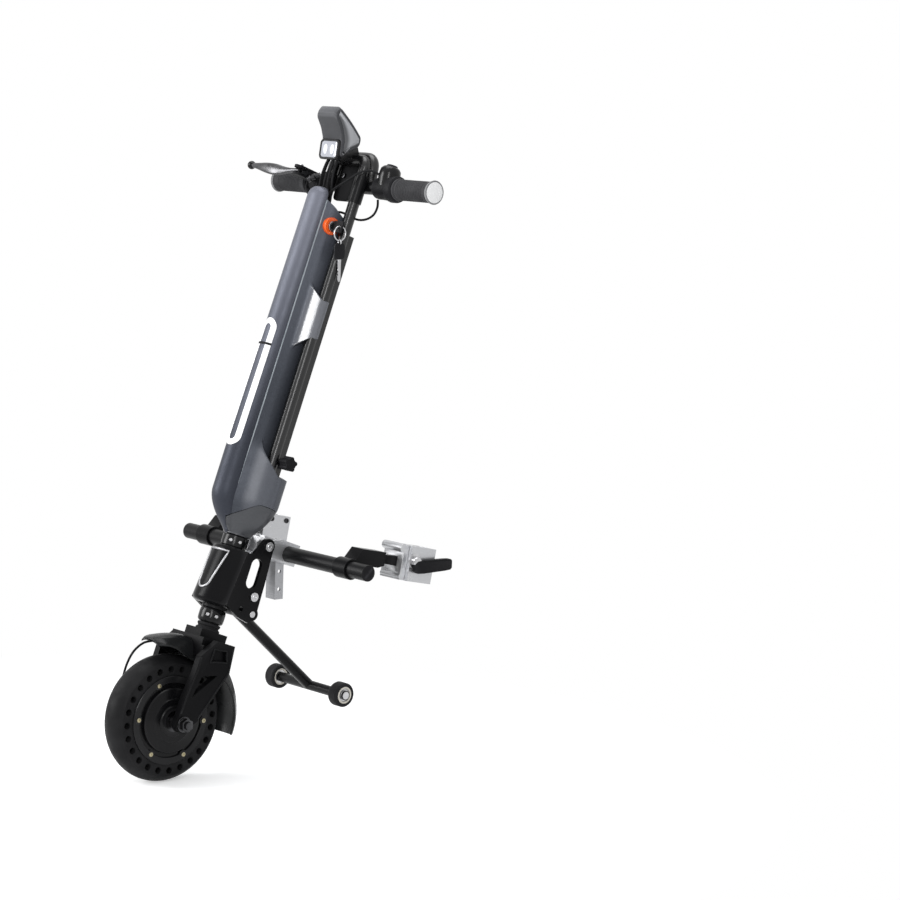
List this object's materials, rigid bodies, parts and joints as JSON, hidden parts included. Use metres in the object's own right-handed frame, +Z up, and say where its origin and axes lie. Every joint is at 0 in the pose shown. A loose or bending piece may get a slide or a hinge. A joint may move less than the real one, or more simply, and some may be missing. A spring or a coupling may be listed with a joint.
{
  "type": "wheelchair power assist",
  "caption": "Front drive unit that docks on a wheelchair frame: hub motor wheel, steering fork, battery column, handlebar with throttle and brake, and stand rollers.",
  "frame": {"origin": "the point where the front tyre meets the floor", "axes": "+Z up, the front faces -Y, +X is the rider's left"},
  "size_m": [0.474, 0.4771, 1.0236],
  "materials": {
    "tyre_rubber": "matt solid rubber",
    "black_metal": "satin black powder coat",
    "brass_screws": "yellow zinc plate",
    "bright_steel": "zinc plate",
    "fender_plastic": "fine grained black moulding",
    "trim_chrome": "bright",
    "silver_alloy": "clear anodised",
    "roller_rubber": "matt",
    "column_paint": "metallic dark grey",
    "light_white": "white",
    "pack_wrap": "shrink wrap",
    "lock_orange": "orange",
    "grip_rubber": "ribbed",
    "screen_glass": "gloss black",
    "lamp_lens": "clear",
    "cable_jacket": "matt"
  },
  "bodies": {
    "dock": {"left_receiver": "silver_alloy", "right_receiver": "silver_alloy", "left_clamp_cap": "silver_alloy", "right_clamp_cap": "silver_alloy"},
    "left_clamp_handle": {"left_clamp_lever": "fender_plastic"},
    "right_clamp_handle": {"right_clamp_lever": "fender_plastic"},
    "crossbar_unit": {"crossbar": "black_metal", "carrier_bracket": "silver_alloy", "left_dock_arm": "black_metal", "right_dock_arm": "black_metal"},
    "latch": {"latch_lever": "silver_alloy"},
    "head": {"head_housing": "black_metal", "front_trim": "trim_chrome", "left_side_plate": "black_metal", "right_side_plate": "black_metal", "head_bearings": "bright_steel", "carrier_pivot_bolts": "bright_steel", "latch_pin": "bright_steel", "stand_pivot_pin": "bright_steel"},
    "stand": {"stand_leg": "black_metal"},
    "left_stand_roller": {"left_roller": "roller_rubber"},
    "right_stand_roller": {"right_roller": "roller_rubber"},
    "steering": {"fork": "black_metal", "clamp_rings": "black_metal", "ring_screws": "bright_steel", "front_fender": "fender_plastic", "rear_fender": "fender_plastic", "motor_axle": "bright_steel", "axle_nuts": "bright_steel", "column_base": "black_metal", "battery_case": "column_paint", "battery_spine": "column_paint", "light_strip": "light_white", "battery_pack": "pack_wrap", "lock_ring": "lock_orange", "lock_barrel": "bright_steel", "upright_frame": "black_metal", "handlebar": "black_metal", "right_grip": "grip_rubber", "throttle_housing": "fender_plastic", "brake_bracket": "fender_plastic", "display_housing": "fender_plastic", "display_screen": "screen_glass", "headlamp_lens": "lamp_lens", "motor_cable": "cable_jacket", "brake_cable": "cable_jacket", "throttle_cable": "cable_jacket", "display_cable": "cable_jacket"},
    "front_wheel": {"tyre": "tyre_rubber", "hub_shell": "black_metal", "hub_cover": "black_metal", "hub_screws": "brass_screws", "wheel_bearings": "bright_steel"},
    "brake_hand_lever": {"brake_lever": "silver_alloy"},
    "throttle_twist": {"throttle_grip": "grip_rubber"},
    "button": {"pod_button": "fender_plastic"},
    "lock_key": {"key": "bright_steel"},
    "hanging_key": {"spare_key": "bright_steel"},
    "left_column_knob": {"left_knob": "fender_plastic"},
    "right_column_knob": {"right_knob": "fender_plastic"}
  },
  "joints": [
    {"name": "left_clamp_turn", "type": "hinge", "parent": "dock", "child": "left_clamp_handle", "pos_m": [0.185, 0.3176, 0.34186], "axis": [1, 0, 0], "range_deg": [-60, 60]},
    {"name": "right_clamp_turn", "type": "hinge", "parent": "dock", "child": "right_clamp_handle", "pos_m": [-0.185, 0.3176, 0.34186], "axis": [1, 0, 0], "range_deg": [-60, 60]},
    {"name": "undock_slide", "type": "slide", "parent": "dock", "child": "crossbar_unit", "axis": [0, -0.9816, 0.1908], "range_m": [0, 0.04]},
    {"name": "latch_turn", "type": "hinge", "parent": "crossbar_unit", "child": "latch", "pos_m": [0, 0.2084, 0.33558], "axis": [1, 0, 0], "range_deg": [0, 25], "stiffness_Nm_per_rad": 1},
    {"name": "head_tilt", "type": "hinge", "parent": "crossbar_unit", "child": "head", "pos_m": [0, 0.16047, 0.35302], "axis": [1, 0, 0], "range_deg": [-25, 0]},
    {"name": "stand_swing", "type": "hinge", "parent": "head", "child": "stand", "pos_m": [0, 0.13362, 0.25], "axis": [1, 0, 0], "range_deg": [-20, 0]},
    {"name": "left_roller_spin", "type": "hinge", "parent": "stand", "child": "left_stand_roller", "pos_m": [0.081, 0.28202, 0.11596], "axis": [1, 0, 0], "continuous": true},
    {"name": "right_roller_spin", "type": "hinge", "parent": "stand", "child": "right_stand_roller", "pos_m": [-0.081, 0.28202, 0.11596], "axis": [1, 0, 0], "continuous": true},
    {"name": "steer_turn", "type": "hinge", "parent": "head", "child": "steering", "pos_m": [0, 0.11005, 0.30221], "axis": [0, 0.342, 0.9397], "range_deg": [-45, 45]},
    {"name": "wheel_spin", "type": "hinge", "parent": "steering", "child": "front_wheel", "pos_m": [0, 0, 0.0975], "axis": [1, 0, 0], "continuous": true},
    {"name": "brake_squeeze", "type": "hinge", "parent": "steering", "child": "brake_hand_lever", "pos_m": [-0.09, 0.30315, 0.92045], "axis": [0, -0.342, -0.9397], "range_deg": [0, 14], "stiffness_Nm_per_rad": 1},
    {"name": "throttle_turn", "type": "hinge", "parent": "steering", "child": "throttle_twist", "pos_m": [0.155, 0.33962, 0.90079], "axis": [-1, 0, 0], "range_deg": [0, 55], "stiffness_Nm_per_rad": 0.4},
    {"name": "button_press", "type": "slide", "parent": "steering", "child": "button", "axis": [0, -0.342, -0.9397], "range_m": [0, 0.002], "stiffness_N_per_m": 400},
    {"name": "key_turn", "type": "hinge", "parent": "steering", "child": "lock_key", "pos_m": [0.0275, 0.27724, 0.84049], "axis": [1, 0, 0], "range_deg": [-90, 0]},
    {"name": "spare_key_swing", "type": "hinge", "parent": "lock_key", "child": "hanging_key", "pos_m": [0.04998, 0.27724, 0.84049], "axis": [0, -0.9397, 0.342], "range_deg": [0, 25]},
    {"name": "left_knob_turn", "type": "hinge", "parent": "steering", "child": "left_column_knob", "pos_m": [0.044, 0.18106, 0.48122], "axis": [1, 0, 0], "range_deg": [0, 360]},
    {"name": "right_knob_turn", "type": "hinge", "parent": "steering", "child": "right_column_knob", "pos_m": [-0.044, 0.18106, 0.48122], "axis": [1, 0, 0], "range_deg": [0, 360]}
  ]
}
